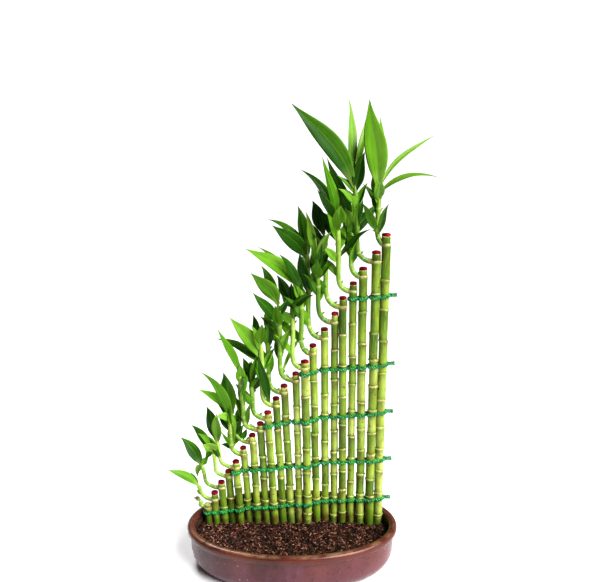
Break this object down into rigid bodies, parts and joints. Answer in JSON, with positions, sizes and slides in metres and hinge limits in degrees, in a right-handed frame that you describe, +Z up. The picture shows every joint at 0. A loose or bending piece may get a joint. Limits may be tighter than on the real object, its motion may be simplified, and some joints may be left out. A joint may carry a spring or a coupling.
{
  "type": "lucky bamboo in a bowl",
  "caption": "Lucky bamboo: a stepped row of tied green canes with leafy shoots, in an oval glazed bowl of soil.",
  "frame": {"origin": "middle of the flat underside of the bowl", "axes": "+Z up, +X along the row of canes towards the tallest one, +Y to the back, away from the viewer"},
  "size_m": [0.3646, 0.1902, 0.6334],
  "materials": {
    "glazed_bowl": "gloss",
    "potting_soil": "rough",
    "bamboo_green": "satin",
    "red_wax": "satin",
    "green_wire": "gloss"
  },
  "bodies": {
    "root": {"bowl": "glazed_bowl", "soil": "potting_soil", "stalk_00": "bamboo_green", "stalk_01": "bamboo_green", "stalk_02": "bamboo_green", "stalk_03": "bamboo_green", "stalk_04": "bamboo_green", "stalk_05": "bamboo_green", "stalk_06": "bamboo_green", "stalk_07": "bamboo_green", "stalk_08": "bamboo_green", "stalk_09": "bamboo_green", "stalk_10": "bamboo_green", "stalk_11": "bamboo_green", "stalk_12": "bamboo_green", "stalk_13": "bamboo_green", "stalk_14": "bamboo_green", "stalk_15": "bamboo_green", "stalk_16": "bamboo_green", "stalk_17": "bamboo_green", "stalk_18": "bamboo_green", "stalk_19": "bamboo_green", "stalk_20": "bamboo_green", "wax_cap_01": "red_wax", "wax_cap_02": "red_wax", "wax_cap_03": "red_wax", "wax_cap_04": "red_wax", "wax_cap_05": "red_wax", "wax_cap_06": "red_wax", "wax_cap_07": "red_wax", "wax_cap_08": "red_wax", "wax_cap_09": "red_wax", "wax_cap_10": "red_wax", "wax_cap_11": "red_wax", "wax_cap_12": "red_wax", "wax_cap_13": "red_wax", "wax_cap_14": "red_wax", "wax_cap_15": "red_wax", "wax_cap_16": "red_wax", "wax_cap_17": "red_wax", "wax_cap_18": "red_wax", "wax_cap_19": "red_wax", "wax_cap_20": "red_wax", "wire_1_back": "green_wire", "wire_1_front": "green_wire", "wire_2_back": "green_wire", "wire_2_front": "green_wire", "wire_3_back": "green_wire", "wire_3_front": "green_wire", "wire_4_back": "green_wire", "wire_4_front": "green_wire", "wire_5_back": "green_wire", "wire_5_front": "green_wire"}
  },
  "joints": []
}
